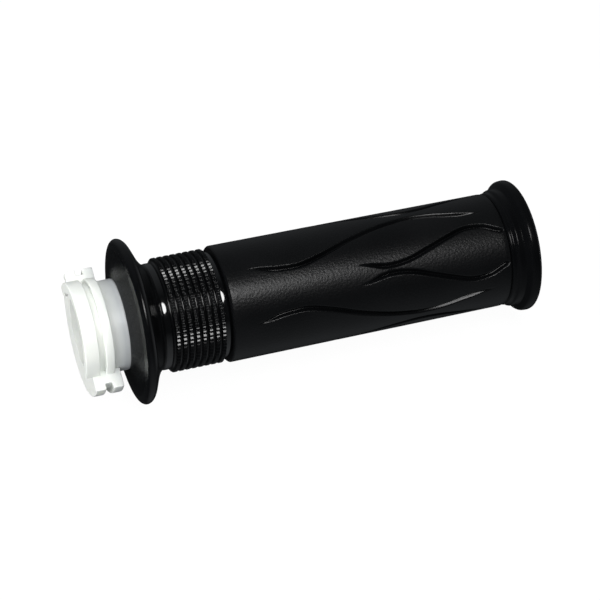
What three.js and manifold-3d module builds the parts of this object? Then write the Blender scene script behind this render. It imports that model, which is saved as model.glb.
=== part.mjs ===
// Motorcycle throttle grip: a nylon throttle tube that turns on the handlebar, and the rubber grip on it.
// Millimetres. +X runs along the handlebar from the throttle housing to the bar end, +Z is up.
// The origin is the centre of the handlebar bore in the plane of the tube's inboard end.
import * as THREE from 'three';
import * as BufferGeometryUtils from 'three/addons/utils/BufferGeometryUtils.js';
import Module from 'manifold-3d';

const wasm = await Module();
wasm.setup();

const SIDES = 48;                 // facets round every turned surface
const CURVE_STEPS = 6;            // points on each curved stretch of an outline
const FIT_GAP = 0.3;              // clearance kept between the tube and the rubber

// Throttle tube
const BAR_BORE_R = 11.3;          // runs on a 22.2 mm handlebar
const NECK_R = 13.1;              // bare tube between the drum and the rubber
const BODY_R = 13.0;              // tube under the rubber
const TUBE_END_X = 127.9;
const END_CHAMFER = 0.4;

// Cable drum, on the half of the tube that the cable wraps
const DRUM_WALL_R = 18.7;
const DRUM_FLOOR_R = 16.9;        // floor of the cable groove
const DRUM_START_X = 2.0;
const INNER_WALL_END_X = 5.0;
const OUTER_WALL_START_X = 7.1;
const DRUM_END_X = 10.1;
const WALL_ROUND = 0.6;           // corner rounding of the drum walls
const DRUM_ROOT_R = 12.2;         // how deep the drum reaches into the tube wall
const OPEN_ANGLE = 120;           // middle of the side with no drum, from +Y towards +Z, in degrees
const OPEN_OFFSET = 0.5;          // the drum's flat ends lie this far in front of the axis

// Two low rings on the side with no drum; the first one reaches past the drum to the tube's inboard end
const LOW_RING_R = 14.4;
const LOW_FLOOR_R = 12.9;
const FIRST_RING_END_X = 4.1;
const SECOND_RING_START_X = 5.9;
const SECOND_RING_END_X = 8.4;

// Pocket for the barrel nipple on the end of the cable, open at the drum's rim
const NIPPLE_R = 2.7;
const NIPPLE_CENTRE_R = 16.4;
const NIPPLE_ANGLE = 15;
const NIPPLE_END_X = 8.2;

// Keys that lock the rubber to the tube
const KEY_COUNT = 4;
const KEY_START_X = 46;
const KEY_END_X = 118;
const KEY_WIDTH = 3;
const KEY_TOP_R = 13.9;
const BEAD_START_X = 121;
const BEAD_END_X = 123;
const BEAD_R = 13.8;

// Rubber grip
const FACE_X = 13.1;              // inboard face at the tube's neck
const RIM_X = 15.3;               // inboard edge of the guard flange's rim
const RIM_FACE_R = 22.2;
const FLANK_X = 18.4;             // where the rounded rim meets the concave flank
const FLANK_R = 22.6;
const RIM_PULL_R = 24.3;          // control radius that rounds the rim to 23.8
const RING_R = 15.2;              // smooth rings on both sides of the knurled collar
const RING_X = 24.4;
const KNURL_START_X = 25.8;
const KNURL_COUNT = 8;
const KNURL_PITCH = 1.9;
const KNURL_WIDTH = 1.0;
const KNURL_SLOPE = 0.2;
const KNURL_TOP_R = 16.5;
const BARREL_X = 42.3;
const BARREL_EDGE_R = 16.4;
const BARREL_EDGE = 0.5;
const BARREL_START_R = 16.9;
const BARREL_END_R = 16.65;
const BULB_X = 126.3;
const BULB_CROWN_X = 131.8;
const BULB_CROWN_R = 19.4;
const GRIP_END_X = 135.1;
const END_FACE_R = 17.2;
const CAVITY_END_X = TUBE_END_X + FIT_GAP;

// Wave grooves in the barrel: points as [x, degrees from the middle of a pattern], each one also mirrored
const WAVE_PATTERNS = 3;
const WAVE_ANGLE = 142;           // middle of the first pattern
const WAVE_STEPS = 14;
const WAVE_RADIUS = 0.8;
const WAVE_CENTRE_R = 16.9;
const OUTER_WAVE = [[48.8, 27.6], [58, 22.2], [64.5, 21.8], [71, 27.5], [81, 39.6], [93, 50.7], [100, 53.5],
  [106, 51.5], [112, 46.5], [121.4, 42]];
const INNER_WAVE = [[80.3, 10], [90.3, 3.8], [96.7, 6.5], [102.5, 13.2], [108.4, 20.2], [114.3, 26],
  [119.7, 24.7], [125, 17.3]];

const nylon = new THREE.MeshStandardMaterial({ color: 0xeef0ea, roughness: 0.45, metalness: 0 });
const rubber = new THREE.MeshStandardMaterial({ color: 0x0d0e0f, roughness: 0.6, metalness: 0 });

// Turns an outline, drawn as x along the grip and y outwards, round the X axis.
function turned(outline) {
  const points = outline.getPoints(CURVE_STEPS).map((p) => new THREE.Vector2(Math.max(p.y, 0), p.x));
  return new THREE.LatheGeometry(points, SIDES).rotateZ(-Math.PI / 2);
}

function solid(geometry) {
  const bare = geometry.clone();
  bare.deleteAttribute('normal');
  bare.deleteAttribute('uv');
  const merged = BufferGeometryUtils.mergeVertices(bare, 1e-5);
  const corners = merged.index.array;
  const triangles = [];
  for (let i = 0; i < corners.length; i += 3) {
    const [a, b, c] = corners.slice(i, i + 3);
    if (a !== b && b !== c && c !== a) triangles.push(a, b, c);
  }
  const mesh = new wasm.Mesh({
    numProp: 3,
    vertProperties: new Float32Array(merged.attributes.position.array),
    triVerts: new Uint32Array(triangles),
  });
  return new wasm.Manifold(mesh);
}

function geometryOf(manifold) {
  const mesh = manifold.getMesh();
  const geometry = new THREE.BufferGeometry();
  geometry.setAttribute('position', new THREE.BufferAttribute(mesh.vertProperties, 3));
  geometry.setIndex(new THREE.BufferAttribute(mesh.triVerts, 1));
  return geometry;
}

function named(name, manifold, material) {
  const mesh = new THREE.Mesh(geometryOf(manifold), material);
  mesh.name = name;
  return mesh;
}

// A bar along the tube, centred on the given angle, from inside the tube wall out to topR.
function longKey(angle, startX, endX, width, topR) {
  const bottomR = DRUM_ROOT_R;
  const box = new THREE.BoxGeometry(endX - startX, topR - bottomR, width);
  box.translate((startX + endX) / 2, (topR + bottomR) / 2, 0);
  return solid(box.rotateX(angle));
}

function keyAngles() {
  return Array.from({ length: KEY_COUNT }, (_, i) => ((i + 0.5) * 2 * Math.PI) / KEY_COUNT);
}

function tubeWall() {
  const outline = new THREE.Path();
  outline.moveTo(0, BAR_BORE_R);
  outline.lineTo(0, LOW_RING_R - END_CHAMFER);
  outline.lineTo(END_CHAMFER, LOW_RING_R);
  outline.lineTo(FIRST_RING_END_X, LOW_RING_R);
  outline.lineTo(FIRST_RING_END_X, LOW_FLOOR_R);
  outline.lineTo(SECOND_RING_START_X, LOW_FLOOR_R);
  outline.lineTo(SECOND_RING_START_X, LOW_RING_R);
  outline.lineTo(SECOND_RING_END_X, LOW_RING_R);
  outline.lineTo(SECOND_RING_END_X, NECK_R);
  outline.lineTo(FACE_X, NECK_R);
  outline.lineTo(FACE_X + 1, BODY_R);
  outline.lineTo(BEAD_START_X, BODY_R);
  outline.lineTo(BEAD_START_X + 0.5, BEAD_R);
  outline.lineTo(BEAD_END_X, BEAD_R);
  outline.lineTo(BEAD_END_X + 0.8, BODY_R);
  outline.lineTo(TUBE_END_X, BODY_R);
  outline.lineTo(TUBE_END_X, BAR_BORE_R);
  outline.closePath();
  return solid(turned(outline));
}

// Everything up to endX on one side of the plane of the drum's flat ends. 1 is the side with no drum.
function halfSpace(side, endX) {
  const reach = 2 * DRUM_WALL_R;
  const box = new THREE.BoxGeometry(reach, reach, 2 * reach);
  box.translate(endX - reach / 2, OPEN_OFFSET + (side * reach) / 2, 0);
  return solid(box.rotateX(THREE.MathUtils.degToRad(OPEN_ANGLE)));
}

function cableDrum() {
  const outline = new THREE.Path();
  outline.moveTo(DRUM_START_X, DRUM_ROOT_R);
  outline.lineTo(DRUM_START_X, DRUM_WALL_R - WALL_ROUND);
  outline.lineTo(DRUM_START_X + WALL_ROUND, DRUM_WALL_R);
  outline.lineTo(INNER_WALL_END_X, DRUM_WALL_R);
  outline.lineTo(INNER_WALL_END_X, DRUM_FLOOR_R);
  outline.lineTo(OUTER_WALL_START_X, DRUM_FLOOR_R);
  outline.lineTo(OUTER_WALL_START_X, DRUM_WALL_R);
  outline.lineTo(DRUM_END_X - WALL_ROUND, DRUM_WALL_R);
  outline.lineTo(DRUM_END_X, DRUM_WALL_R - WALL_ROUND);
  outline.lineTo(DRUM_END_X, DRUM_ROOT_R);
  outline.closePath();
  return solid(turned(outline)).subtract(halfSpace(1, DRUM_END_X + 1));
}

function nipplePocket() {
  const length = NIPPLE_END_X + 1;
  const pocket = new THREE.CylinderGeometry(NIPPLE_R, NIPPLE_R, length, 24);
  pocket.rotateZ(-Math.PI / 2);
  pocket.translate(NIPPLE_END_X - length / 2, NIPPLE_CENTRE_R, 0);
  pocket.rotateX(THREE.MathUtils.degToRad(NIPPLE_ANGLE));
  return solid(pocket);
}

function throttleTube() {
  const wall = tubeWall().subtract(halfSpace(-1, DRUM_START_X));
  let tube = wall.add(cableDrum().subtract(nipplePocket()));
  for (const angle of keyAngles()) {
    tube = tube.add(longKey(angle, KEY_START_X, KEY_END_X, KEY_WIDTH, KEY_TOP_R));
  }
  return tube;
}

function gripOutline() {
  const boreR = BODY_R + FIT_GAP;
  const outline = new THREE.Path();
  outline.moveTo(CAVITY_END_X, 0);
  outline.lineTo(CAVITY_END_X, boreR);
  outline.lineTo(BEAD_END_X + 0.8 + FIT_GAP, boreR);
  outline.lineTo(BEAD_END_X + FIT_GAP, BEAD_R + FIT_GAP);
  outline.lineTo(BEAD_START_X, BEAD_R + FIT_GAP);
  outline.lineTo(BEAD_START_X - FIT_GAP, boreR);
  outline.lineTo(FACE_X + 1 + FIT_GAP, boreR);
  outline.lineTo(FACE_X, NECK_R + FIT_GAP);
  outline.lineTo(RIM_X, RIM_FACE_R);
  outline.bezierCurveTo(RIM_X + 0.3, RIM_PULL_R, FLANK_X - 0.9, RIM_PULL_R, FLANK_X, FLANK_R);
  outline.bezierCurveTo(FLANK_X + 1.2, 20.3, FLANK_X + 2.5, 16.6, RING_X, RING_R);
  for (let i = 0; i < KNURL_COUNT; i += 1) {
    const x = KNURL_START_X + i * KNURL_PITCH;
    outline.lineTo(x, RING_R);
    outline.lineTo(x + KNURL_SLOPE, KNURL_TOP_R);
    outline.lineTo(x + KNURL_WIDTH - KNURL_SLOPE, KNURL_TOP_R);
    outline.lineTo(x + KNURL_WIDTH, RING_R);
  }
  outline.lineTo(BARREL_X, RING_R);
  outline.lineTo(BARREL_X, BARREL_EDGE_R);
  outline.lineTo(BARREL_X + BARREL_EDGE, BARREL_START_R);
  outline.lineTo(BULB_X, BARREL_END_R);
  outline.bezierCurveTo(BULB_X + 1.7, 16.9, BULB_X + 2.7, BULB_CROWN_R, BULB_CROWN_X, BULB_CROWN_R);
  outline.bezierCurveTo(BULB_CROWN_X + 2, BULB_CROWN_R, GRIP_END_X, 18.6, GRIP_END_X, END_FACE_R);
  outline.lineTo(GRIP_END_X, 0);
  return outline;
}

// One wave groove as a solid bead that follows the barrel's surface.
function waveCutter(points, mirror, turn) {
  const path = points.map(([x, degrees]) => {
    const angle = THREE.MathUtils.degToRad(turn + mirror * degrees);
    return new THREE.Vector3(x, WAVE_CENTRE_R * Math.cos(angle), WAVE_CENTRE_R * Math.sin(angle));
  });
  const section = new THREE.Shape();
  section.absarc(0, 0, WAVE_RADIUS, 0, 2 * Math.PI);
  const bead = new THREE.ExtrudeGeometry(section, {
    curveSegments: 3,
    steps: WAVE_STEPS,
    extrudePath: new THREE.CatmullRomCurve3(path, false, 'centripetal'),
  });
  return solid(bead);
}

function rubberGrip() {
  let grip = solid(turned(gripOutline()));
  for (const angle of keyAngles()) {
    const width = KEY_WIDTH + 2 * FIT_GAP;
    const slot = longKey(angle, KEY_START_X - FIT_GAP, KEY_END_X + FIT_GAP, width, KEY_TOP_R + FIT_GAP);
    grip = grip.subtract(slot);
  }
  for (let i = 0; i < WAVE_PATTERNS; i += 1) {
    const turn = WAVE_ANGLE + (i * 360) / WAVE_PATTERNS;
    for (const mirror of [1, -1]) {
      grip = grip.subtract(waveCutter(OUTER_WAVE, mirror, turn));
      grip = grip.subtract(waveCutter(INNER_WAVE, mirror, turn));
    }
  }
  return grip;
}

const throttleGrip = new THREE.Group();
throttleGrip.add(named('throttle_tube', throttleTube(), nylon));
throttleGrip.add(named('rubber_grip', rubberGrip(), rubber));

export default throttleGrip;
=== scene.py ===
# Throttle grip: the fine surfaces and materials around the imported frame. Lengths are written in millimetres
# and angles in degrees, and MM turns lengths into Blender's metres. +X runs along the grip, +Z is up.
import math

import bmesh
import bpy
import numpy as np
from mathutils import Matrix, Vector


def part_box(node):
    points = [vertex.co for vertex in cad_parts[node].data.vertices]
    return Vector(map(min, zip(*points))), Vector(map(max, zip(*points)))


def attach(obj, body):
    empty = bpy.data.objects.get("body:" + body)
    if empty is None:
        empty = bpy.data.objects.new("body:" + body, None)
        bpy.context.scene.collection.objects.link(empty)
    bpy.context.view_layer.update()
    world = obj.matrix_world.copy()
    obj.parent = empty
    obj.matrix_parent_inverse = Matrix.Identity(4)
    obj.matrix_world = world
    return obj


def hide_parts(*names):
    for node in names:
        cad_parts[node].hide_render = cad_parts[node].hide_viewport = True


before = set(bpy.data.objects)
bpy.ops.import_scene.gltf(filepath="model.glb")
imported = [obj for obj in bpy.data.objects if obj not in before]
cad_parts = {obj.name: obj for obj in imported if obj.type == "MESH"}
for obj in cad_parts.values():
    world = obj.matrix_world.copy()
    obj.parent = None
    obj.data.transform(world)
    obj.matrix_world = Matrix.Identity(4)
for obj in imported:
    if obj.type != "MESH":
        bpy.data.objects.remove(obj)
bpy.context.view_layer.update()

MM = 0.001
TUBE_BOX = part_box("throttle_tube")
GRIP_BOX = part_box("rubber_grip")
FIT_GAP = 0.3                # clearance between the tube and the rubber

# Tube
TUBE_END_X = round(TUBE_BOX[1].x / MM, 2)
BORE_R = 11.3
NECK_R = 13.1
BODY_R = 13.0                # under the rubber
BODY_STEP = 1.0              # length of the slope from the neck to the body
TUBE_ROUNDING = 0.3
MOUTH_ROUNDING = 0.35
LOW_RING_R = 14.4            # two low rings on the side with no drum
LOW_FLOOR_R = 12.9
FIRST_RING_END_X = 4.1
SECOND_RING_START_X = 5.9
SECOND_RING_END_X = 8.4
KEY_ANGLES = (45.0, 135.0, 225.0, 315.0)
KEY_START_X = 46.0
KEY_END_X = 118.0
KEY_WIDTH = 3.0
KEY_FLANK = 0.15
KEY_STEP = 0.02              # length over which a key reaches its height
KEY_TOP_R = 13.9
BEAD_START_X = 121.0
BEAD_END_X = 123.0
BEAD_R = 13.8
BEAD_RISE = 0.5
BEAD_FALL = 0.8

# Cable drum
DRUM_WALL_R = round(TUBE_BOX[1].y / MM, 2)
DRUM_FLOOR_R = 16.9
DRUM_SIDE_R = 15.4           # its flat sides start here
DRUM_ROOT_R = 12.2           # inside the tube's wall
DRUM_START_X = 2.0
INNER_WALL_END_X = 5.0
OUTER_WALL_START_X = 7.1
DRUM_END_X = 10.1
DRUM_ROUNDING = 0.45
DRUM_END_ROUNDING = 0.2
DRUM_END_INSET = 0.08        # a last ring inside each flat end keeps its shading flat
DRUM_SECTIONS = 140
OPEN_ANGLE = 120.0           # middle of the side with no drum, from +Y towards +Z
OPEN_OFFSET = 0.5            # the drum's flat ends lie this far in front of the axis
NIPPLE_R = 2.7
NIPPLE_CENTRE_R = 16.4
NIPPLE_ANGLE = 15.0
NIPPLE_START_X = -1.0        # the cutter starts outside the drum
NIPPLE_END_X = 8.2

# Flange and collar, with outline points as (x, radius)
FACE_X = round(GRIP_BOX[0].x / MM, 2)
LIP_DEPTH = 0.6              # of the rubber's straight lip round the neck
LIP_ROUNDING = 0.35
BORE_RING_X = 30.0           # a ring half way along the bore
GRIP_BORE_R = BODY_R + FIT_GAP
RIM = (15.3, 22.2)
RIM_PULLS = ((15.6, 24.3), (17.5, 24.3))       # control points of the rounded rim
FLANK = (18.4, 22.6)
FLANK_PULLS = ((19.5, 20.3), (20.8, 16.2))     # control points of the hollow flank
FIRST_RING_X = (22.9, 25.0)  # start and end of the smooth glossy rings on both sides of the knurl
LAST_RING_X = (40.05, 41.9)
RING_R = 15.2
RING_EDGE = 0.1              # height of the rings' rounded edges
RING_CROWN = 0.06            # how much the rings bulge
RING_GROOVE_WIDTH = 0.08
RING_GROOVE_DEPTH = 0.22
KNURL_START_X = 25.7
KNURL_COUNT = 8
KNURL_PITCH = 1.9
KNURL_WIDTH = 1.3
KNURL_WALL = 0.12            # thickness over which a knurled ring's side rises
KNURL_FLOOR_R = 15.3
KNURL_TOP_R = 16.5
KNURL_VALLEY = -0.06         # height between the rings, as a share of full height
KNURL_BLOCKS = 70            # blocks in each ring
KNURL_GAP_DEPTH = 0.54       # depth of the gaps between the blocks
BLOCK_ROOF_POWER = 1.2       # 1 is a plain roof, and more rounds its ridge
BLOCK_PLACES = (0.0, 0.04, 0.25, 0.46, 0.5, 0.54, 0.75, 0.96)  # mesh columns over one block, from gap to gap

# Barrel
BARREL_X = 42.3
BARREL_START_R = 16.9
BARREL_EDGE = 0.45
BARREL_EDGE_ROUNDING = 0.18
BARREL_LAND = 1.6            # plain length before the grooved part
BARREL_END_X = 126.3
BARREL_END_R = 16.65
BARREL_END_ROUNDING = 1.4    # length over which the barrel's end bends down
BARREL_END_DROP = 0.3
BARREL_RINGS = 168
SEAM_DEPTH = 0.6             # of the fine groove between the barrel and the bulb
SEAM_CORNER = ((0.12, 0.27), (0.03, 0.36), (0.0, SEAM_DEPTH))  # (back from the barrel's end, drop in radius)
SEAM_CORNER_LENGTH = 0.25

# Bulb, with outline points as (x, radius)
BULB_X = 126.75
BULB_BEAD = (127.95, 16.6)
BULB_SHOULDER = (128.65, 17.35)
BULB_WAIST = (130.55, 17.3)
BULB_CROWN = (131.75, 19.3)
CROWN_LENGTH = 1.6
CROWN_RISE = 0.08
GRIP_END_X = round(GRIP_BOX[1].x / MM, 2)
END_PULL_R = 18.3            # control radius of the curve down to the end face
END_FACE_R = 16.2
RECESS_RIM_R = 14.7
RECESS_R = 13.8
RECESS_DEPTH = 0.4
RECESS_DISC_R = 3.0          # of the last mesh ring before the pole, here and in the cavity
CAVITY_DISC_R = 6.0
CAVITY_END_X = TUBE_END_X + FIT_GAP
CAVITY_ROUNDING = 0.2

# Wave grooves, as (x, degrees from the middle of a pattern), each one also mirrored
WAVE_PATTERNS = 3
WAVE_ANGLE = 142.0           # middle of the first pattern
WAVE_HALF_WIDTH = 0.95
WAVE_DEPTH = 1.1
WAVE_BAND = 1.15             # the barrel's mesh follows each groove this far to both sides
WAVE_COLUMNS = 15            # mesh columns across one groove
WAVE_START_TAPER = 8.0
WAVE_TIP = 0.3               # a groove runs out this far past its end points
WAVE_TIP_WIDTH = 0.3         # width at the tips, as a share of full width
OUTER_WAVE = [(48.8, 27.6), (58, 22.2), (64.5, 21.8), (71, 27.5), (81, 39.6), (93, 50.7), (100, 53.5),
              (106, 51.5), (112, 46.5), (121.4, 42)]
OUTER_END_TAPER = 9.0
INNER_WAVE = [(80.3, 10), (90.3, 3.8), (96.7, 6.5), (102.5, 13.2), (108.4, 20.2), (114.3, 26), (119.7, 24.7),
              (125.8, 16.6)]
INNER_END_TAPER = 1.0
COLUMNS_INSIDE = 8           # mesh columns inside the inner wave, between the waves and beyond the outer wave
COLUMNS_BETWEEN = 13
COLUMNS_BEYOND = 9
GROOVE_FINISH_DEPTH = 0.03   # where the cut is deeper, it has the grooves' own finish

COLLAR_COLUMNS = KNURL_BLOCKS * len(BLOCK_PLACES)   # mesh columns round the knurled rings
PLAIN_COLUMNS = COLLAR_COLUMNS // 2                 # and round everything else that is plainly turned

# Materials of the flange and collar, in the order of their slots
SATIN, GLOSSY, KNURLED, MATTE = range(4)

LIGHT_TARGET = (41, 0, 0)    # the lights face this point

# Camera, fitted to the photograph
CAMERA_TARGET = (67.2, 0, -4.4)
CAMERA_AZIMUTH = -18.68
CAMERA_ELEVATION = 36.64
CAMERA_DISTANCE = 692.9
LENS = 144
SENSOR_WIDTH = 36


# ---- Curves ----

def smoothstep(low, high, value):
    t = np.clip((value - low) / (high - low), 0.0, 1.0)
    return t * t * (3 - 2 * t)


def line(start, end, steps):
    """Points from start to end, without start."""
    start, end = np.array(start, float), np.array(end, float)
    return [tuple(start + (end - start) * k / steps) for k in range(1, steps + 1)]


def bezier(start, pull, end_pull, end, steps):
    """Points on a cubic Bezier curve, without its start."""
    a, b, c, d = (np.array(p, float) for p in (start, pull, end_pull, end))
    points = []
    for k in range(1, steps + 1):
        t = k / steps
        u = 1 - t
        points.append(tuple(u ** 3 * a + 3 * u ** 2 * t * b + 3 * u * t * t * c + t ** 3 * d))
    return points


def rounded(corners, radius, steps=3):
    """A polyline through corners, with each inner corner rounded by a quadratic curve."""
    points = [tuple(map(float, corners[0]))]
    for before, corner, after in zip(corners, corners[1:], corners[2:]):
        corner = np.array(corner, float)
        into = np.array(before, float) - corner
        away = np.array(after, float) - corner
        reach = min(radius, 0.45 * np.linalg.norm(into), 0.45 * np.linalg.norm(away))
        a = corner + into / np.linalg.norm(into) * reach
        b = corner + away / np.linalg.norm(away) * reach
        for k in range(steps + 1):
            t = k / steps
            points.append(tuple((1 - t) ** 2 * a + 2 * t * (1 - t) * corner + t * t * b))
    points.append(tuple(map(float, corners[-1])))
    return points


def angles(count):
    return np.arange(count) * 2 * math.pi / count


def apart(a, b):
    """Smallest difference between two angles, in radians, with its sign."""
    return (a - b + math.pi) % (2 * math.pi) - math.pi


# ---- Turned surfaces ----

def ring_at(x, radius, t):
    """Points round the X axis at the angles t. x and radius are numbers, or have one value for each angle."""
    return np.stack([np.broadcast_to(x, t.shape), radius * np.cos(t), radius * np.sin(t)], 1)


def ring(x, radius):
    """One plain ring of evenly spaced points round the X axis."""
    return ring_at(x, radius, angles(PLAIN_COLUMNS))


def stitch(faces, lower, upper):
    """Faces between two rings of vertex numbers, of the same count or one twice the other."""
    n, m = len(lower), len(upper)
    if n == m:
        for j in range(n):
            k = (j + 1) % n
            faces.append((lower[j], lower[k], upper[k], upper[j]))
    elif m == 2 * n:
        for j in range(n):
            k = (j + 1) % n
            f = 2 * j
            g = (2 * j + 2) % m
            faces.append((lower[j], upper[f + 1], upper[f]))
            faces.append((lower[j], lower[k], upper[f + 1]))
            faces.append((lower[k], upper[g], upper[f + 1]))
    else:
        for j in range(m):
            k = (j + 1) % m
            f = 2 * j
            g = (2 * j + 2) % n
            faces.append((lower[f], lower[f + 1], upper[j]))
            faces.append((lower[f + 1], upper[k], upper[j]))
            faces.append((lower[f + 1], lower[g], upper[k]))


def closed_surface(rings, poles=()):
    """Vertices and faces of a surface through rings. poles are the two axis points that close it, or none to
    join the last ring to the first."""
    vertices = []
    numbers = []
    for points in rings:
        numbers.append(list(range(len(vertices), len(vertices) + len(points))))
        vertices.extend(points)
    faces = []
    for lower, upper in zip(numbers, numbers[1:]):
        stitch(faces, lower, upper)
    if poles:
        for pole, loop, first in ((poles[0], numbers[0], True), (poles[1], numbers[-1], False)):
            centre = len(vertices)
            vertices.append(np.array(pole, float))
            for j in range(len(loop)):
                k = (j + 1) % len(loop)
                faces.append((centre, loop[k], loop[j]) if first else (centre, loop[j], loop[k]))
    else:
        stitch(faces, numbers[-1], numbers[0])
    return np.array(vertices), faces


def new_object(name, vertices, faces, material_of_face=None):
    mesh = bpy.data.meshes.new(name)
    mesh.from_pydata([tuple(v) for v in np.asarray(vertices) * MM], [], faces)
    edit = bmesh.new()
    edit.from_mesh(mesh)
    bmesh.ops.recalc_face_normals(edit, faces=edit.faces)
    edit.to_mesh(mesh)
    edit.free()
    mesh.shade_smooth()
    if material_of_face is not None:
        mesh.polygons.foreach_set("material_index", material_of_face)
    mesh.update()
    piece = bpy.data.objects.new(name, mesh)
    bpy.context.scene.collection.objects.link(piece)
    return piece


def key_height(x, t, start_x, end_x, width, radius):
    """1 on the long keys and 0 beside them, at station x and the angles t."""
    begun = smoothstep(start_x - KEY_STEP / 2, start_x + KEY_STEP / 2, x)
    ended = smoothstep(end_x - KEY_STEP / 2, end_x + KEY_STEP / 2, x)
    side = np.min([np.abs(apart(t, math.radians(a))) for a in KEY_ANGLES], axis=0) * radius
    return begun * (1 - ended) * (1 - smoothstep(width / 2 - KEY_FLANK, width / 2 + KEY_FLANK, side))


# ---- Rubber grip, in three closed pieces that meet at its natural seams ----

def flange_and_collar():
    """The guard flange, the knurled rings and the smooth rings beside them, up to the barrel."""
    rings = []
    finishes = []

    def add(points, finish=SATIN):
        rings.append(points)
        finishes.append(finish)

    for x in (BARREL_X, BORE_RING_X, FACE_X + BODY_STEP + FIT_GAP):
        add(ring(x, GRIP_BORE_R))
    lip_r = NECK_R + FIT_GAP
    outline = rounded([(FACE_X + LIP_DEPTH, lip_r), (FACE_X, lip_r), RIM], LIP_ROUNDING)
    outline = outline[:-1] + line(outline[-2], RIM, 8)
    outline += bezier(RIM, *RIM_PULLS, FLANK, 16)
    foot = (FIRST_RING_X[0] - 0.15, RING_R + 0.05)
    outline += bezier(FLANK, *FLANK_PULLS, foot, 20)
    for x, r in outline:
        add(ring(x, r), MATTE if x < RIM[0] - 0.1 else SATIN)
    for x, r in smooth_ring(*FIRST_RING_X):
        add(ring(x, r), GLOSSY)
    add(ring(KNURL_START_X - 0.1, KNURL_FLOOR_R))
    for i in range(KNURL_COUNT):
        for offset, height in knurl_rows():
            add(knurl_ring(KNURL_START_X + i * KNURL_PITCH + offset, height), KNURLED)
    for x, r in smooth_ring(*LAST_RING_X):
        add(ring(x, r), GLOSSY)
    add(ring(BARREL_X, RING_R - 0.1))

    vertices, faces = closed_surface(rings)
    finish_of_vertex = np.concatenate([np.full(len(points), kind) for points, kind in zip(rings, finishes)])
    material = [int(finish_of_vertex[list(f)].min()) for f in faces]
    return new_object("rubber_flange_and_collar", vertices, faces, material)


def smooth_ring(start, end):
    """Outline of a low, slightly domed ring between two fine grooves."""
    groove_r = RING_R - RING_GROOVE_DEPTH
    points = [(start - RING_GROOVE_WIDTH, groove_r)]
    for k in range(9):
        u = 2 * k / 8 - 1
        r = RING_R + RING_EDGE * (1 - u ** 8) + RING_CROWN * (1 - u * u)
        points.append((start + (end - start) * k / 8, r))
    return points + [(end + RING_GROOVE_WIDTH, groove_r)]


def knurl_rows():
    """Stations along one knurled ring and the height of its blocks there, as a share of full height."""
    rise = [(KNURL_WALL * x, height) for x, height in
            ((0.0, 0.0), (0.5, 0.5), (1.0, 0.85), (1.4, 0.96), (1.9, 1.0), (2.3, 1.0))]
    fall = [(KNURL_WIDTH - x, height) for x, height in reversed(rise)]
    return rise + fall + [((KNURL_WIDTH + KNURL_PITCH) / 2, KNURL_VALLEY)]


def knurl_ring(x, height):
    """Points round a knurled ring at station x. Its blocks are small roofs with a gap between them."""
    places = np.array(BLOCK_PLACES)
    t = ((np.arange(KNURL_BLOCKS)[:, None] + places) * 2 * math.pi / KNURL_BLOCKS).ravel()
    roof = np.tile(1 - np.abs(1 - 2 * places) ** BLOCK_ROOF_POWER, KNURL_BLOCKS)
    gap = KNURL_GAP_DEPTH * (1 - roof) if height > 0 else 0
    return ring_at(x, KNURL_FLOOR_R + height * (KNURL_TOP_R - KNURL_FLOOR_R - gap), t)


def wave_angle(points, x):
    """The wave's angle in degrees at x, on a smooth curve through its points, and its slope in degrees/mm."""
    px = np.array([p[0] for p in points], float)
    pa = np.array([p[1] for p in points], float)
    slopes = np.gradient(pa, px)
    slopes[0] = slopes[-1] = 0.0
    if x <= px[0]:
        return pa[0], 0.0
    if x >= px[-1]:
        return pa[-1], 0.0
    i = int(np.searchsorted(px, x)) - 1
    h = px[i + 1] - px[i]
    u = (x - px[i]) / h
    value = ((2 * u ** 3 - 3 * u ** 2 + 1) * pa[i] + (u ** 3 - 2 * u ** 2 + u) * h * slopes[i]
             + (3 * u ** 2 - 2 * u ** 3) * pa[i + 1] + (u ** 3 - u ** 2) * h * slopes[i + 1])
    slope = ((6 * u ** 2 - 6 * u) * (pa[i] - pa[i + 1]) / h + (3 * u ** 2 - 4 * u + 1) * slopes[i]
             + (3 * u ** 2 - 2 * u) * slopes[i + 1])
    return value, slope


def groove_band(points, end_taper, x, radius):
    """Degrees from the middle of a pattern, and cut depth, for the mesh columns that follow one groove."""
    centre, slope = wave_angle(points, x)
    lean = math.cos(math.atan(radius * math.radians(slope)))
    start, end = points[0][0], points[-1][0]
    begun = smoothstep(start - WAVE_TIP, start + WAVE_START_TAPER, x)
    ended = smoothstep(end - end_taper, end + WAVE_TIP, x)
    full = float(begun * (1 - ended))
    half = WAVE_HALF_WIDTH * (WAVE_TIP_WIDTH + (1 - WAVE_TIP_WIDTH) * full)
    away = np.linspace(-1, 1, WAVE_COLUMNS) * WAVE_BAND
    depth = WAVE_DEPTH * full * np.clip(1 - (away / half) ** 2, 0, 1) ** 2
    return centre + np.degrees(away / (radius * lean)), depth


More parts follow.
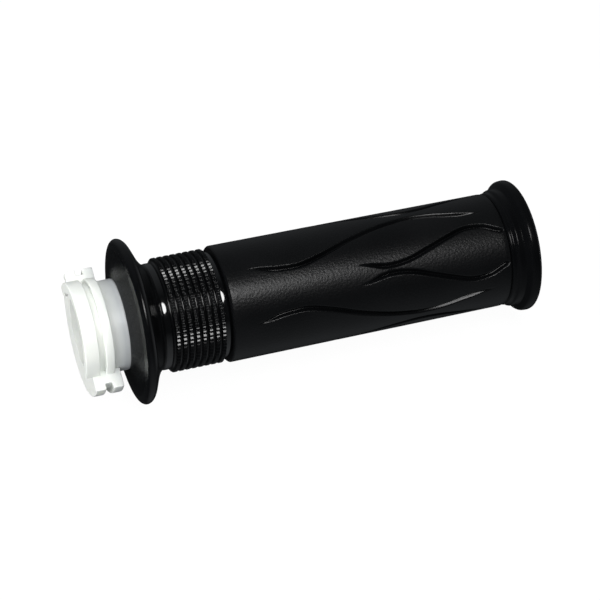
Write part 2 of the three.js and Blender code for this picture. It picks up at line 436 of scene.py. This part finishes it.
def barrel_columns(x, radius):
    """Angles in radians and cut depths for all the barrel's mesh columns at station x."""
    inner, inner_cut = groove_band(INNER_WAVE, INNER_END_TAPER, x, radius)
    outer, outer_cut = groove_band(OUTER_WAVE, OUTER_END_TAPER, x, radius)
    middle = np.linspace(0, inner[0], COLUMNS_INSIDE)[:-1]
    between = np.linspace(inner[-1], outer[0], COLUMNS_BETWEEN)[1:-1]
    beyond = np.linspace(outer[-1], 180 / WAVE_PATTERNS, COLUMNS_BEYOND)[1:]
    degrees = np.concatenate([middle, inner, between, outer, beyond])
    cut = np.concatenate([0 * middle, inner_cut, 0 * between, outer_cut, 0 * beyond])
    degrees = np.concatenate([-degrees[:0:-1], degrees[:-1]])
    cut = np.concatenate([cut[:0:-1], cut[:-1]])
    turns = [math.radians(WAVE_ANGLE + k * 360 / WAVE_PATTERNS) for k in range(WAVE_PATTERNS)]
    return np.concatenate([turn + np.radians(degrees) for turn in turns]), np.tile(cut, WAVE_PATTERNS)


def barrel():
    """The grained barrel with its wave grooves. The mesh follows the grooves, so their edges stay crisp."""
    rings = []
    in_groove = []

    def add(x, radius, cut_share):
        t, cut = barrel_columns(x, radius)
        rings.append(ring_at(x, radius - cut_share * cut, t))
        in_groove.append(cut_share * cut > GROOVE_FINISH_DEPTH)

    head = rounded([(BARREL_X, GRIP_BORE_R + 1.0), (BARREL_X, BARREL_START_R - BARREL_EDGE),
                    (BARREL_X + BARREL_EDGE, BARREL_START_R), (BARREL_X + BARREL_LAND, BARREL_START_R)],
                   BARREL_EDGE_ROUNDING)
    for x, r in head:
        add(x, r, 0)
    start_x = head[-1][0]
    bend_x = BARREL_END_X - BARREL_END_ROUNDING
    for x in np.linspace(start_x, BARREL_END_X - SEAM_CORNER_LENGTH, BARREL_RINGS)[1:]:
        r = BARREL_START_R + (BARREL_END_R - BARREL_START_R) * (x - start_x) / (BARREL_END_X - start_x)
        add(x, r - BARREL_END_DROP * max(0.0, (x - bend_x) / BARREL_END_ROUNDING) ** 2, 1)
    for back, drop in SEAM_CORNER:
        add(BARREL_END_X - back, BARREL_END_R - drop, 0)

    columns = len(rings[0])
    t = math.radians(WAVE_ANGLE - 180 / WAVE_PATTERNS) + angles(columns)
    slot_start_x = KEY_START_X - FIT_GAP
    slot_end_x = KEY_END_X + FIT_GAP
    bore = [(BARREL_END_X, GRIP_BORE_R), (BEAD_END_X + BEAD_FALL + FIT_GAP, GRIP_BORE_R),
            (BEAD_END_X + FIT_GAP, BEAD_R + FIT_GAP), (BEAD_START_X, BEAD_R + FIT_GAP),
            (BEAD_START_X - FIT_GAP, GRIP_BORE_R)]
    for x in (slot_end_x + KEY_STEP, slot_end_x - KEY_STEP, (slot_start_x + slot_end_x) / 2,
              slot_start_x + KEY_STEP, slot_start_x - KEY_STEP, BARREL_X):
        bore.append((x, GRIP_BORE_R))
    for x, r in bore:
        slot = key_height(x, t, slot_start_x, slot_end_x, KEY_WIDTH + 2 * FIT_GAP, r)
        rings.append(ring_at(x, r + slot * (KEY_TOP_R + FIT_GAP - GRIP_BORE_R), t))
        in_groove.append(np.zeros(columns, bool))
    vertices, faces = closed_surface(rings)
    in_groove = np.concatenate(in_groove)
    material = [int(in_groove[list(f)].all()) for f in faces]
    return new_object("rubber_barrel", vertices, faces, material)


def bulb():
    """The bulb that ends the grip, with its fine seam against the barrel, a shoulder and a rounded crown."""
    outline = [(CAVITY_END_X, CAVITY_DISC_R), (CAVITY_END_X, GRIP_BORE_R - CAVITY_ROUNDING),
               (CAVITY_END_X - CAVITY_ROUNDING, GRIP_BORE_R), (BARREL_END_X, GRIP_BORE_R),
               (BARREL_END_X, BARREL_END_R - SEAM_DEPTH), (BULB_X - 0.1, BARREL_END_R - 0.8 * SEAM_DEPTH),
               (BULB_X, BARREL_END_R - 0.1), (BULB_X + 0.25, BARREL_END_R)]
    land = (BULB_WAIST[0] - 0.6, BULB_WAIST[1])
    rise = (BULB_WAIST[0] + 0.12, BULB_WAIST[1] + 0.2)
    crown_end = (BULB_CROWN[0] + CROWN_LENGTH, BULB_CROWN[1] + CROWN_RISE)
    outline += rounded([outline[-1], BULB_BEAD, BULB_SHOULDER, land], 0.4, 6)[1:]
    outline += rounded([land, BULB_WAIST, rise], 0.05, 3)[1:]
    outline += rounded([rise, BULB_CROWN, crown_end], 1.1, 10)[1:]
    outline += bezier(crown_end, (crown_end[0] + 1.1, crown_end[1] + 0.05), (GRIP_END_X, END_PULL_R),
                      (GRIP_END_X - 0.01, END_FACE_R), 16)
    recess_x = GRIP_END_X - RECESS_DEPTH
    outline += rounded([(GRIP_END_X, END_FACE_R - 0.2), (GRIP_END_X, RECESS_RIM_R), (recess_x, RECESS_R),
                        (recess_x, RECESS_DISC_R)], 0.5)
    rings = [ring(x, r) for x, r in outline]
    vertices, faces = closed_surface(rings, ((CAVITY_END_X, 0, 0), (recess_x, 0, 0)))
    radius = np.hypot(vertices[:, 1], vertices[:, 2])
    in_recess = (vertices[:, 0] > recess_x - 0.1) & (radius < END_FACE_R - 0.5)
    material = [int(in_recess[list(f)].all()) for f in faces]
    return new_object("rubber_bulb", vertices, faces, material)


# ---- Nylon throttle tube ----

def tube_wall():
    """The tube's wall, the two low rings, and the bead and the keys under the rubber."""
    corners = [(0, BORE_R + MOUTH_ROUNDING), (0, LOW_RING_R), (FIRST_RING_END_X, LOW_RING_R),
               (FIRST_RING_END_X, LOW_FLOOR_R), (SECOND_RING_START_X, LOW_FLOOR_R),
               (SECOND_RING_START_X, LOW_RING_R), (SECOND_RING_END_X, LOW_RING_R),
               (SECOND_RING_END_X, NECK_R), (FACE_X, NECK_R), (FACE_X + BODY_STEP, BODY_R)]
    outside = rounded(corners, TUBE_ROUNDING)
    keyed = [(KEY_START_X - KEY_STEP, BODY_R), (KEY_START_X + KEY_STEP, BODY_R)]
    keyed += line(keyed[-1], (KEY_END_X - KEY_STEP, BODY_R), 4)
    keyed += [(KEY_END_X + KEY_STEP, BODY_R), (BEAD_START_X, BODY_R), (BEAD_START_X + BEAD_RISE, BEAD_R),
              (BEAD_END_X, BEAD_R), (BEAD_END_X + BEAD_FALL, BODY_R), (TUBE_END_X - TUBE_ROUNDING, BODY_R),
              (TUBE_END_X, BODY_R - TUBE_ROUNDING)]
    bore = [(TUBE_END_X, BORE_R + TUBE_ROUNDING), (TUBE_END_X - TUBE_ROUNDING, BORE_R)]
    bore += line(bore[-1], (MOUTH_ROUNDING, BORE_R), 12)
    t = angles(PLAIN_COLUMNS)
    rings = []
    for x, r in outside + keyed:
        keys = key_height(x, t, KEY_START_X, KEY_END_X, KEY_WIDTH, r)
        rings.append(ring_at(x, r + keys * (KEY_TOP_R - BODY_R), t))
    for x, r in bore:
        rings.append(ring(x, r))
    vertices, faces = closed_surface(rings)
    return new_object("throttle_tube_fine", vertices, faces)


def cable_drum():
    """The drum's two walls and groove, swept round half of the tube, with rounded flat ends."""
    corners = [(DRUM_START_X, DRUM_SIDE_R), (DRUM_START_X, DRUM_WALL_R), (INNER_WALL_END_X, DRUM_WALL_R),
               (INNER_WALL_END_X, DRUM_FLOOR_R), (OUTER_WALL_START_X, DRUM_FLOOR_R),
               (OUTER_WALL_START_X, DRUM_WALL_R), (DRUM_END_X, DRUM_WALL_R), (DRUM_END_X, DRUM_SIDE_R)]
    root = [(DRUM_END_X, DRUM_ROOT_R), (DRUM_START_X, DRUM_ROOT_R)]
    outline = np.array(rounded(corners, DRUM_ROUNDING, 4) + root)
    edge = np.roll(outline, -1, 0) - np.roll(outline, 1, 0)
    inward = np.stack([edge[:, 1], -edge[:, 0]], 1) / np.linalg.norm(edge, axis=1)[:, None]

    def section(points, offset, share):
        """The points turned to lie between one flat end, share 0, and the other, share 1. offset is the flat
        end's distance in front of the axis."""
        x, r = points.T
        end = np.arccos(np.clip(offset / r, -1, 1))
        return ring_at(x, r, math.radians(OPEN_ANGLE) + end + 2 * (math.pi - end) * share)

    ends = [(outline + inward * (DRUM_END_ROUNDING + DRUM_END_INSET), OPEN_OFFSET)]
    for bend in np.linspace(0, math.pi / 2, 5):
        inset = DRUM_END_ROUNDING * (1 - math.sin(bend))
        back = DRUM_END_ROUNDING * (1 - math.cos(bend))
        ends.append((outline + inward * inset, OPEN_OFFSET - back))
    rings = [section(points, offset, 0) for points, offset in ends]
    for k in range(1, DRUM_SECTIONS):
        rings.append(section(outline, OPEN_OFFSET - DRUM_END_ROUNDING, k / DRUM_SECTIONS))
    rings += [section(points, offset, 1) for points, offset in reversed(ends)]

    count = len(outline)
    faces = []
    for i in range(len(rings) - 1):
        stitch(faces, range(i * count, (i + 1) * count), range((i + 1) * count, (i + 2) * count))
    faces.append(tuple(range(count)))
    faces.append(tuple(reversed(range((len(rings) - 1) * count, len(rings) * count))))
    return new_object("drum_tool", np.concatenate(rings), faces)


def short_side_tool():
    """A box that ends the tube's wall at the drum's inboard face, on the drum's side only."""
    reach = 2 * DRUM_WALL_R
    angle = math.radians(OPEN_ANGLE)
    corners = []
    for x in (-reach, DRUM_START_X):
        for along, across in ((OPEN_OFFSET, -reach), (OPEN_OFFSET, reach), (-reach, reach), (-reach, -reach)):
            corners.append((x, along * math.cos(angle) - across * math.sin(angle),
                            along * math.sin(angle) + across * math.cos(angle)))
    faces = [(0, 1, 2, 3), (4, 5, 6, 7), (0, 1, 5, 4), (1, 2, 6, 5), (2, 3, 7, 6), (3, 0, 4, 7)]
    return new_object("short_side_tool", corners, faces)


def nipple_tool():
    """A round cutter for the nipple pocket, with a rounded rim at its blind end."""
    t = angles(48)
    direction = math.radians(NIPPLE_ANGLE)

    def turned(x, y, z):
        return (x, y * math.cos(direction) - z * math.sin(direction),
                y * math.sin(direction) + z * math.cos(direction))

    outline = [(NIPPLE_START_X, NIPPLE_R), (NIPPLE_END_X - 0.4, NIPPLE_R),
               (NIPPLE_END_X - 0.1, NIPPLE_R - 0.12), (NIPPLE_END_X, NIPPLE_R - 0.4)]
    rings = []
    for x, r in outline:
        rings.append(np.stack(turned(np.full(len(t), x), NIPPLE_CENTRE_R + r * np.cos(t), r * np.sin(t)), 1))
    poles = [turned(x, NIPPLE_CENTRE_R, 0) for x in (NIPPLE_START_X, NIPPLE_END_X)]
    vertices, faces = closed_surface(rings, poles)
    return new_object("nipple_tool", vertices, faces)


def apply_boolean(piece, tool, operation):
    modifier = piece.modifiers.new("cut", "BOOLEAN")
    modifier.operation = operation
    modifier.solver = "EXACT"
    modifier.object = tool
    depsgraph = bpy.context.evaluated_depsgraph_get()
    result = bpy.data.meshes.new_from_object(piece.evaluated_get(depsgraph))
    piece.modifiers.clear()
    piece.data = result
    bpy.data.objects.remove(tool)


def throttle_tube():
    tube = tube_wall()
    apply_boolean(tube, short_side_tool(), "DIFFERENCE")
    drum = cable_drum()
    apply_boolean(drum, nipple_tool(), "DIFFERENCE")
    apply_boolean(tube, drum, "UNION")
    tube.name = tube.data.name = "nylon_throttle_tube"
    tube.data.shade_smooth()
    tube.data.set_sharp_from_angle(angle=math.radians(40))
    weighted = tube.modifiers.new("even_faces", "WEIGHTED_NORMAL")
    weighted.keep_sharp = True
    tube.data.materials.clear()
    return tube


# ---- Material nodes ----

def new_material(name):
    """A material, its node tree, its shader and its object coordinates."""
    material = bpy.data.materials.new(name)
    material.use_nodes = True
    tree = material.node_tree
    shader = tree.nodes["Principled BSDF"]
    position = tree.nodes.new("ShaderNodeTexCoord").outputs["Object"]
    return material, tree, shader, position


def noise(tree, position, per_mm, detail=2.0):
    node = tree.nodes.new("ShaderNodeTexNoise")
    node.inputs["Scale"].default_value = per_mm / MM
    node.inputs["Detail"].default_value = detail
    node.inputs["Roughness"].default_value = 0.5
    tree.links.new(position, node.inputs["Vector"])
    return node.outputs["Fac"]


def grain_cells(tree, position, per_mm):
    node = tree.nodes.new("ShaderNodeTexVoronoi")
    node.feature = "SMOOTH_F1"
    node.inputs["Scale"].default_value = per_mm / MM
    node.inputs["Smoothness"].default_value = 0.6
    tree.links.new(position, node.inputs["Vector"])
    return node.outputs["Distance"]


def spread(tree, value, low, high, from_low=0.3, from_high=0.7):
    node = tree.nodes.new("ShaderNodeMapRange")
    node.inputs["From Min"].default_value = from_low
    node.inputs["From Max"].default_value = from_high
    node.inputs["To Min"].default_value = low
    node.inputs["To Max"].default_value = high
    tree.links.new(value, node.inputs["Value"])
    return node.outputs["Result"]


def plus(tree, a, b):
    node = tree.nodes.new("ShaderNodeMath")
    node.operation = "ADD"
    tree.links.new(a, node.inputs[0])
    tree.links.new(b, node.inputs[1])
    return node.outputs[0]


def blend(tree, share, first, second):
    """From the first colour to the second. A colour is three numbers or another node's output."""
    node = tree.nodes.new("ShaderNodeMix")
    node.data_type = "RGBA"
    tree.links.new(share, node.inputs["Factor"])
    for name, colour in (("A", first), ("B", second)):
        if isinstance(colour, tuple):
            node.inputs[name].default_value = (*colour, 1)
        else:
            tree.links.new(colour, node.inputs[name])
    return node.outputs["Result"]


def bump(tree, height, strength, distance_mm, under=None):
    node = tree.nodes.new("ShaderNodeBump")
    node.inputs["Strength"].default_value = strength
    node.inputs["Distance"].default_value = distance_mm * MM
    tree.links.new(height, node.inputs["Height"])
    if under is not None:
        tree.links.new(under, node.inputs["Normal"])
    return node.outputs["Normal"]


# ---- Materials ----

def grained_rubber():
    """Matte rubber with the fine leather grain of the barrel."""
    material, tree, shader, position = new_material("grained_rubber")
    cells = grain_cells(tree, position, 1.5)
    fine = noise(tree, position, 4.0, 3.0)
    cloud = spread(tree, noise(tree, position, 0.06), 0, 1)
    colour = blend(tree, cloud, (0.0018, 0.0020, 0.0023), (0.0032, 0.0034, 0.0038))
    tree.links.new(colour, shader.inputs["Base Color"])
    tree.links.new(spread(tree, fine, 0.29, 0.39), shader.inputs["Roughness"])
    tree.links.new(bump(tree, fine, 0.3, 0.05, bump(tree, cells, 0.35, 0.10)), shader.inputs["Normal"])
    shader.inputs["Specular IOR Level"].default_value = 0.26
    return material


def smooth_rubber(name, roughness, specular):
    """Rubber without grain, from glossy to matte."""
    material, tree, shader, position = new_material(name)
    fine = noise(tree, position, 2.0, 3.0)
    cloud = spread(tree, noise(tree, position, 0.08), 0, 1)
    colour = blend(tree, cloud, (0.0016, 0.0018, 0.0021), (0.0030, 0.0032, 0.0036))
    tree.links.new(colour, shader.inputs["Base Color"])
    tree.links.new(spread(tree, fine, 0.85 * roughness, 1.15 * roughness), shader.inputs["Roughness"])
    tree.links.new(bump(tree, fine, 0.3 * roughness, 0.03), shader.inputs["Normal"])
    shader.inputs["Specular IOR Level"].default_value = specular
    return material


def white_nylon():
    """Milky moulded nylon, with painted shade that greys it next to the black rubber, where the flange shades
    the neck.
    """
    material, tree, shader, position = new_material("white_nylon")
    cloud = spread(tree, noise(tree, position, 0.12), 0, 1)
    fine = noise(tree, position, 1.6, 3.0)
    white = blend(tree, cloud, (0.82, 0.85, 0.81), (0.88, 0.90, 0.86))
    along = tree.nodes.new("ShaderNodeSeparateXYZ")
    tree.links.new(position, along.inputs["Vector"])
    # Painted shade: from x 6.6 to 12 mm the base colour turns grey, standing in for the shade the black
    # flange casts on the neck.
    painted_shade_near_rubber = spread(tree, along.outputs["X"], 0, 1, 6.6 * MM, 12.0 * MM)
    tree.links.new(blend(tree, painted_shade_near_rubber, white, (0.42, 0.44, 0.45)), shader.inputs["Base Color"])
    tree.links.new(spread(tree, fine, 0.36, 0.48), shader.inputs["Roughness"])
    tree.links.new(bump(tree, fine, 0.1, 0.04), shader.inputs["Normal"])
    shader.inputs["Subsurface Weight"].default_value = 0.25
    shader.inputs["Subsurface Radius"].default_value = (1.0, 1.0, 0.9)
    shader.inputs["Subsurface Scale"].default_value = 1.5 * MM
    return material


# ---- Stage, lights and camera ----

def look_from(azimuth, elevation):
    """Unit vector from the object towards a viewer at these angles. Azimuth 0 looks along +Y."""
    a, e = math.radians(azimuth), math.radians(elevation)
    return Vector((math.sin(a) * math.cos(e), -math.cos(a) * math.cos(e), math.sin(e)))


def round_direction(x, degrees):
    """A direction with this share along the grip, at this angle round it, from +Y towards +Z."""
    across = math.sqrt(1 - x * x)
    a = math.radians(degrees)
    return Vector((x, across * math.cos(a), across * math.sin(a)))


def aim(thing, place, target):
    thing.location = place
    thing.rotation_euler = (target - place).to_track_quat("-Z", "Y").to_euler()


def camera():
    data = bpy.data.cameras.new("camera")
    data.lens = LENS
    data.sensor_width = SENSOR_WIDTH
    data.clip_start = 0.05
    seen = bpy.data.objects.new("camera", data)
    target = Vector(CAMERA_TARGET) * MM
    aim(seen, target + look_from(CAMERA_AZIMUTH, CAMERA_ELEVATION) * CAMERA_DISTANCE * MM, target)
    bpy.context.scene.collection.objects.link(seen)
    bpy.context.scene.camera = seen


def softbox(name, direction, distance, size, power, shape="RECTANGLE"):
    """An area light. Distance and size, which is width and height, are in metres, and power is in watts."""
    data = bpy.data.lights.new(name, "AREA")
    data.shape = shape
    data.size, data.size_y = size
    data.energy = power
    light = bpy.data.objects.new(name, data)
    target = Vector(LIGHT_TARGET) * MM
    aim(light, target + direction.normalized() * distance, target)
    bpy.context.scene.collection.objects.link(light)
    return light


def glow(tree, direction, toward, low, high, start):
    """Strength that rises from low to high as the direction turns to the one given. start is where it begins
    to rise, as the cosine of the angle between the two."""
    facing = tree.nodes.new("ShaderNodeVectorMath")
    facing.operation = "DOT_PRODUCT"
    facing.inputs[1].default_value = toward
    tree.links.new(direction, facing.inputs[0])
    return spread(tree, facing.outputs["Value"], low, high, start, 0.95)


def lights():
    """One key light, three fills that leave no reflection, and a faint glow all round for the reflections."""
    softbox("key_softbox", round_direction(0.08, 128.2), 0.7, (0.26, 0.28), 2.4, "ELLIPSE")
    for name, direction, distance, side, power in (
            ("left_fill", Vector((-0.85, -0.35, 0.25)), 0.6, 0.5, 4.0),
            ("top_fill", round_direction(-0.25, 85), 0.9, 0.8, 4.2),
            ("front_fill", round_direction(-0.3, 200), 0.9, 0.8, 2.0)):
        softbox(name, direction, distance, (side, side), power).visible_glossy = False
    world = bpy.data.worlds.new("studio")
    world.use_nodes = True
    tree = world.node_tree
    direction = tree.nodes.new("ShaderNodeTexCoord").outputs["Generated"]
    front = glow(tree, direction, (0, -0.5, -0.87), 0.02, 0.25, 0.5)
    back = glow(tree, direction, (0, 0.8, 0.6), 0.0, 0.15, 0.4)
    outboard = glow(tree, direction, (1, 0, 0), 0.0, 0.4, 0.7)
    background = tree.nodes["Background"]
    background.inputs["Color"].default_value = (0.9, 0.95, 1.0, 1)
    tree.links.new(plus(tree, plus(tree, front, back), outboard), background.inputs["Strength"])
    bpy.context.scene.world = world


def floor():
    """A pale table that shines by itself, so that it stays even behind the object."""
    bottom = GRIP_BOX[0].z
    size = 4.0
    mesh = bpy.data.meshes.new("floor")
    corners = [(-size, -size, bottom), (size, -size, bottom), (size, size, bottom), (-size, size, bottom)]
    mesh.from_pydata(corners, [], [(0, 1, 2, 3)])
    plane = bpy.data.objects.new("floor", mesh)
    bpy.context.scene.collection.objects.link(plane)
    material = bpy.data.materials.new("pale_table")
    material.use_nodes = True
    shader = material.node_tree.nodes["Principled BSDF"]
    shader.inputs["Base Color"].default_value = (0.06, 0.06, 0.06, 1)
    shader.inputs["Roughness"].default_value = 1.0
    shader.inputs["Specular IOR Level"].default_value = 0.0
    shader.inputs["Emission Color"].default_value = (1, 1, 1, 1)
    shader.inputs["Emission Strength"].default_value = 0.97
    mesh.materials.append(material)
    plane.visible_glossy = False
    plane.visible_diffuse = False
    plane.visible_shadow = False


# ---- Assembly ----

satin = smooth_rubber("satin_rubber", 0.2, 0.28)
glossy = smooth_rubber("glossy_rubber", 0.09, 0.9)
knurled = smooth_rubber("knurled_rubber", 0.16, 0.45)
matte = smooth_rubber("matte_rubber", 0.3, 0.1)
groove = smooth_rubber("groove_rubber", 0.22, 0.21)
fine_satin = smooth_rubber("fine_satin_rubber", 0.18, 0.11)
for piece, materials in ((flange_and_collar(), (satin, glossy, knurled, matte)),
                         (barrel(), (grained_rubber(), groove)),
                         (bulb(), (fine_satin, satin))):
    for material in materials:
        piece.data.materials.append(material)
    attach(piece, "root")
    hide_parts("rubber_grip")

tube = throttle_tube()
tube.data.materials.append(white_nylon())
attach(tube, "root")
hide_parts("throttle_tube")

floor()
lights()
camera()
bpy.context.scene.view_settings.view_transform = "Standard"
